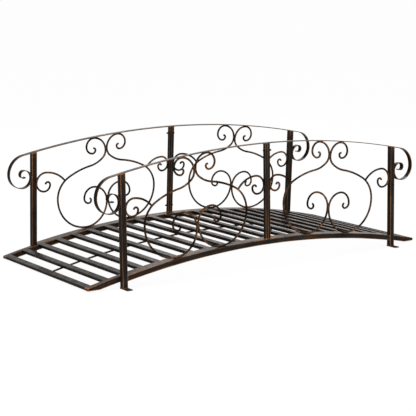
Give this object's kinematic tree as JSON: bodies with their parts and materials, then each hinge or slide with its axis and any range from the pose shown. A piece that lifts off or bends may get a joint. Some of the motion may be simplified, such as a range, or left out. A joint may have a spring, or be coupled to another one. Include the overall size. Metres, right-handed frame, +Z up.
{
  "type": "garden moon bridge",
  "caption": "Arched metal garden footbridge: slatted deck between scrollwork side rails with flat handrails that curl into volutes past the end posts.",
  "frame": {"origin": "middle of the bridge, at the level of the foot plates' undersides", "axes": "+X along the bridge, +Y across it from the front rail to the back rail, +Z up"},
  "size_m": [2.1, 1.0086, 0.6341],
  "materials": {
    "post_coat": "charcoal black powder coat, brushed with copper bronze on the edges",
    "arch_tube_coat": "charcoal black powder coat, brushed with copper bronze on the edges",
    "deck_slat_coat": "charcoal black powder coat, worn satin on top",
    "handrail_coat": "charcoal black powder coat, brushed with copper bronze on the edges",
    "scroll_rod_coat": "charcoal black powder coat, brushed with copper bronze on the edges",
    "foot_plate_coat": "charcoal black powder coat"
  },
  "bodies": {
    "root": {"back_left_bottom_rail": "arch_tube_coat", "back_left_end_post": "post_coat", "back_left_foot_plate": "foot_plate_coat", "back_left_handrail": "handrail_coat", "back_left_inner_hook": "scroll_rod_coat", "back_left_inner_scroll": "scroll_rod_coat", "back_left_mid_post": "post_coat", "back_left_outer_hook": "scroll_rod_coat", "back_left_outer_scroll": "scroll_rod_coat", "back_right_bottom_rail": "arch_tube_coat", "back_right_end_post": "post_coat", "back_right_foot_plate": "foot_plate_coat", "back_right_handrail": "handrail_coat", "back_right_inner_hook": "scroll_rod_coat", "back_right_inner_scroll": "scroll_rod_coat", "back_right_mid_post": "post_coat", "back_right_outer_hook": "scroll_rod_coat", "back_right_outer_scroll": "scroll_rod_coat", "back_stringer": "arch_tube_coat", "deck_slats_left": "deck_slat_coat", "deck_slats_right": "deck_slat_coat", "deck_spine": "arch_tube_coat", "front_left_bottom_rail": "arch_tube_coat", "front_left_end_post": "post_coat", "front_left_foot_plate": "foot_plate_coat", "front_left_handrail": "handrail_coat", "front_left_inner_hook": "scroll_rod_coat", "front_left_inner_scroll": "scroll_rod_coat", "front_left_mid_post": "post_coat", "front_left_outer_hook": "scroll_rod_coat", "front_left_outer_scroll": "scroll_rod_coat", "front_right_bottom_rail": "arch_tube_coat", "front_right_end_post": "post_coat", "front_right_foot_plate": "foot_plate_coat", "front_right_handrail": "handrail_coat", "front_right_inner_hook": "scroll_rod_coat", "front_right_inner_scroll": "scroll_rod_coat", "front_right_mid_post": "post_coat", "front_right_outer_hook": "scroll_rod_coat", "front_right_outer_scroll": "scroll_rod_coat", "front_stringer": "arch_tube_coat"}
  },
  "joints": []
}
